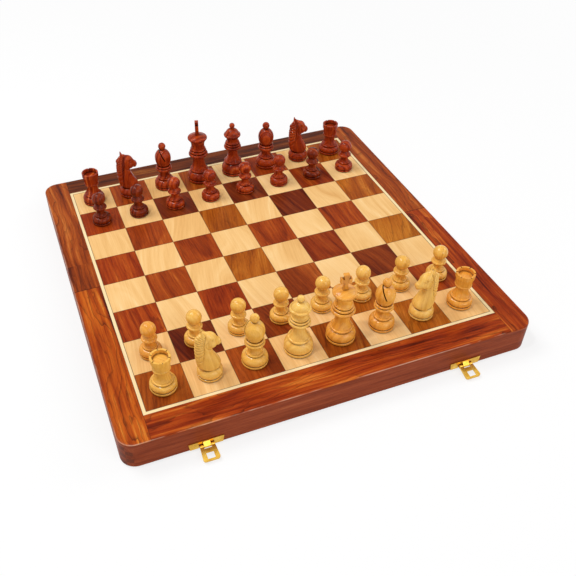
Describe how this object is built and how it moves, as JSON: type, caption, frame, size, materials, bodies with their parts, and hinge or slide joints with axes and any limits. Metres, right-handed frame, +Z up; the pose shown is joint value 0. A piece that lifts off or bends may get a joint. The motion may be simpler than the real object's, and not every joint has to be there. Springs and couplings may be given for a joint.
{
  "type": "folding chess box",
  "caption": "Folding wooden chess box: shallow half-boxes hinged rim to rim, an inlaid playing surface outside, felt-lined inside, brass hasps, and turned and carved men.",
  "frame": {"origin": "middle of the fold line, in the plane of the rims that the open box rests on", "axes": "+X to the right along the ranks, +Y away from the hasps and across the fold, +Z up out of the playing surface"},
  "size_m": [0.356, 0.3747, 0.0957],
  "materials": {
    "frame_wood": "brown figured hardwood under satin lacquer",
    "dark_square_wood": "brown hardwood veneer blocks under satin lacquer",
    "pale_wood": "pale maple under satin lacquer",
    "plywood": "unfinished plywood",
    "felt": "green felt",
    "brass": "bright polished brass",
    "light_men_wood": "boxwood, polished",
    "dark_men_wood": "red-brown stained wood, glossy"
  },
  "bodies": {
    "front_half": {"front_wall": "frame_wood", "front_side_walls": "frame_wood", "front_fold_wall": "frame_wood", "front_panel": "plywood", "front_border": "frame_wood", "front_stringing": "pale_wood", "front_light_squares": "pale_wood", "front_dark_squares": "dark_square_wood", "front_lining": "felt", "hinge_front_leaves": "brass", "hinge_pins": "brass", "hasp_plates": "brass", "hasp_pins": "brass", "front_screws": "brass"},
    "rear_half": {"rear_wall": "frame_wood", "rear_side_walls": "frame_wood", "rear_fold_wall": "frame_wood", "rear_panel": "plywood", "rear_border": "frame_wood", "rear_stringing": "pale_wood", "rear_light_squares": "pale_wood", "rear_dark_squares": "dark_square_wood", "rear_lining": "felt", "hinge_rear_leaves": "brass", "strike_plates": "brass", "rear_screws": "brass"},
    "flap_left": {"hasp_flap_left": "brass"},
    "flap_right": {"hasp_flap_right": "brass"},
    "light_rook_a": {"light_rook_a": "light_men_wood"},
    "light_knight_b": {"light_knight_b": "light_men_wood"},
    "light_bishop_c": {"light_bishop_c": "light_men_wood"},
    "light_queen_d": {"light_queen_d": "light_men_wood"},
    "light_king_e": {"light_king_e": "light_men_wood"},
    "light_bishop_f": {"light_bishop_f": "light_men_wood"},
    "light_knight_g": {"light_knight_g": "light_men_wood"},
    "light_rook_h": {"light_rook_h": "light_men_wood"},
    "dark_rook_a": {"dark_rook_a": "dark_men_wood"},
    "dark_knight_b": {"dark_knight_b": "dark_men_wood"},
    "dark_bishop_c": {"dark_bishop_c": "dark_men_wood"},
    "dark_king_d": {"dark_king_d": "dark_men_wood"},
    "dark_queen_e": {"dark_queen_e": "dark_men_wood"},
    "dark_bishop_f": {"dark_bishop_f": "dark_men_wood"},
    "dark_knight_g": {"dark_knight_g": "dark_men_wood"},
    "dark_rook_h": {"dark_rook_h": "dark_men_wood"},
    "light_pawn_a": {"light_pawn_a": "light_men_wood"},
    "light_pawn_b": {"light_pawn_b": "light_men_wood"},
    "light_pawn_c": {"light_pawn_c": "light_men_wood"},
    "light_pawn_d": {"light_pawn_d": "light_men_wood"},
    "light_pawn_e": {"light_pawn_e": "light_men_wood"},
    "light_pawn_f": {"light_pawn_f": "light_men_wood"},
    "light_pawn_g": {"light_pawn_g": "light_men_wood"},
    "light_pawn_h": {"light_pawn_h": "light_men_wood"},
    "dark_pawn_a": {"dark_pawn_a": "dark_men_wood"},
    "dark_pawn_b": {"dark_pawn_b": "dark_men_wood"},
    "dark_pawn_c": {"dark_pawn_c": "dark_men_wood"},
    "dark_pawn_d": {"dark_pawn_d": "dark_men_wood"},
    "dark_pawn_e": {"dark_pawn_e": "dark_men_wood"},
    "dark_pawn_f": {"dark_pawn_f": "dark_men_wood"},
    "dark_pawn_g": {"dark_pawn_g": "dark_men_wood"},
    "dark_pawn_h": {"dark_pawn_h": "dark_men_wood"}
  },
  "joints": [
    {"name": "fold", "type": "hinge", "parent": "front_half", "child": "rear_half", "pos_m": [0, 0, 0], "axis": [-1, 0, 0], "range_deg": [0, 180]},
    {"name": "flap_left_turn", "type": "hinge", "parent": "front_half", "child": "flap_left", "pos_m": [-0.1135, -0.18005, 0.0026], "axis": [1, 0, 0], "range_deg": [-77, 83]},
    {"name": "flap_right_turn", "type": "hinge", "parent": "front_half", "child": "flap_right", "pos_m": [0.1135, -0.18005, 0.0026], "axis": [1, 0, 0], "range_deg": [-77, 83]},
    {"name": "light_rook_a_lift", "type": "slide", "parent": "front_half", "child": "light_rook_a", "axis": [0, 0, 1], "range_m": [0, 0.08]},
    {"name": "light_knight_b_lift", "type": "slide", "parent": "front_half", "child": "light_knight_b", "axis": [0, 0, 1], "range_m": [0, 0.08]},
    {"name": "light_bishop_c_lift", "type": "slide", "parent": "front_half", "child": "light_bishop_c", "axis": [0, 0, 1], "range_m": [0, 0.08]},
    {"name": "light_queen_d_lift", "type": "slide", "parent": "front_half", "child": "light_queen_d", "axis": [0, 0, 1], "range_m": [0, 0.08]},
    {"name": "light_king_e_lift", "type": "slide", "parent": "front_half", "child": "light_king_e", "axis": [0, 0, 1], "range_m": [0, 0.08]},
    {"name": "light_bishop_f_lift", "type": "slide", "parent": "front_half", "child": "light_bishop_f", "axis": [0, 0, 1], "range_m": [0, 0.08]},
    {"name": "light_knight_g_lift", "type": "slide", "parent": "front_half", "child": "light_knight_g", "axis": [0, 0, 1], "range_m": [0, 0.08]},
    {"name": "light_rook_h_lift", "type": "slide", "parent": "front_half", "child": "light_rook_h", "axis": [0, 0, 1], "range_m": [0, 0.08]},
    {"name": "dark_rook_a_lift", "type": "slide", "parent": "rear_half", "child": "dark_rook_a", "axis": [0, 0, 1], "range_m": [0, 0.08]},
    {"name": "dark_knight_b_lift", "type": "slide", "parent": "rear_half", "child": "dark_knight_b", "axis": [0, 0, 1], "range_m": [0, 0.08]},
    {"name": "dark_bishop_c_lift", "type": "slide", "parent": "rear_half", "child": "dark_bishop_c", "axis": [0, 0, 1], "range_m": [0, 0.08]},
    {"name": "dark_king_d_lift", "type": "slide", "parent": "rear_half", "child": "dark_king_d", "axis": [0, 0, 1], "range_m": [0, 0.08]},
    {"name": "dark_queen_e_lift", "type": "slide", "parent": "rear_half", "child": "dark_queen_e", "axis": [0, 0, 1], "range_m": [0, 0.08]},
    {"name": "dark_bishop_f_lift", "type": "slide", "parent": "rear_half", "child": "dark_bishop_f", "axis": [0, 0, 1], "range_m": [0, 0.08]},
    {"name": "dark_knight_g_lift", "type": "slide", "parent": "rear_half", "child": "dark_knight_g", "axis": [0, 0, 1], "range_m": [0, 0.08]},
    {"name": "dark_rook_h_lift", "type": "slide", "parent": "rear_half", "child": "dark_rook_h", "axis": [0, 0, 1], "range_m": [0, 0.08]},
    {"name": "light_pawn_a_lift", "type": "slide", "parent": "front_half", "child": "light_pawn_a", "axis": [0, 0, 1], "range_m": [0, 0.08]},
    {"name": "light_pawn_b_lift", "type": "slide", "parent": "front_half", "child": "light_pawn_b", "axis": [0, 0, 1], "range_m": [0, 0.08]},
    {"name": "light_pawn_c_lift", "type": "slide", "parent": "front_half", "child": "light_pawn_c", "axis": [0, 0, 1], "range_m": [0, 0.08]},
    {"name": "light_pawn_d_lift", "type": "slide", "parent": "front_half", "child": "light_pawn_d", "axis": [0, 0, 1], "range_m": [0, 0.08]},
    {"name": "light_pawn_e_lift", "type": "slide", "parent": "front_half", "child": "light_pawn_e", "axis": [0, 0, 1], "range_m": [0, 0.08]},
    {"name": "light_pawn_f_lift", "type": "slide", "parent": "front_half", "child": "light_pawn_f", "axis": [0, 0, 1], "range_m": [0, 0.08]},
    {"name": "light_pawn_g_lift", "type": "slide", "parent": "front_half", "child": "light_pawn_g", "axis": [0, 0, 1], "range_m": [0, 0.08]},
    {"name": "light_pawn_h_lift", "type": "slide", "parent": "front_half", "child": "light_pawn_h", "axis": [0, 0, 1], "range_m": [0, 0.08]},
    {"name": "dark_pawn_a_lift", "type": "slide", "parent": "rear_half", "child": "dark_pawn_a", "axis": [0, 0, 1], "range_m": [0, 0.08]},
    {"name": "dark_pawn_b_lift", "type": "slide", "parent": "rear_half", "child": "dark_pawn_b", "axis": [0, 0, 1], "range_m": [0, 0.08]},
    {"name": "dark_pawn_c_lift", "type": "slide", "parent": "rear_half", "child": "dark_pawn_c", "axis": [0, 0, 1], "range_m": [0, 0.08]},
    {"name": "dark_pawn_d_lift", "type": "slide", "parent": "rear_half", "child": "dark_pawn_d", "axis": [0, 0, 1], "range_m": [0, 0.08]},
    {"name": "dark_pawn_e_lift", "type": "slide", "parent": "rear_half", "child": "dark_pawn_e", "axis": [0, 0, 1], "range_m": [0, 0.08]},
    {"name": "dark_pawn_f_lift", "type": "slide", "parent": "rear_half", "child": "dark_pawn_f", "axis": [0, 0, 1], "range_m": [0, 0.08]},
    {"name": "dark_pawn_g_lift", "type": "slide", "parent": "rear_half", "child": "dark_pawn_g", "axis": [0, 0, 1], "range_m": [0, 0.08]},
    {"name": "dark_pawn_h_lift", "type": "slide", "parent": "rear_half", "child": "dark_pawn_h", "axis": [0, 0, 1], "range_m": [0, 0.08]}
  ]
}
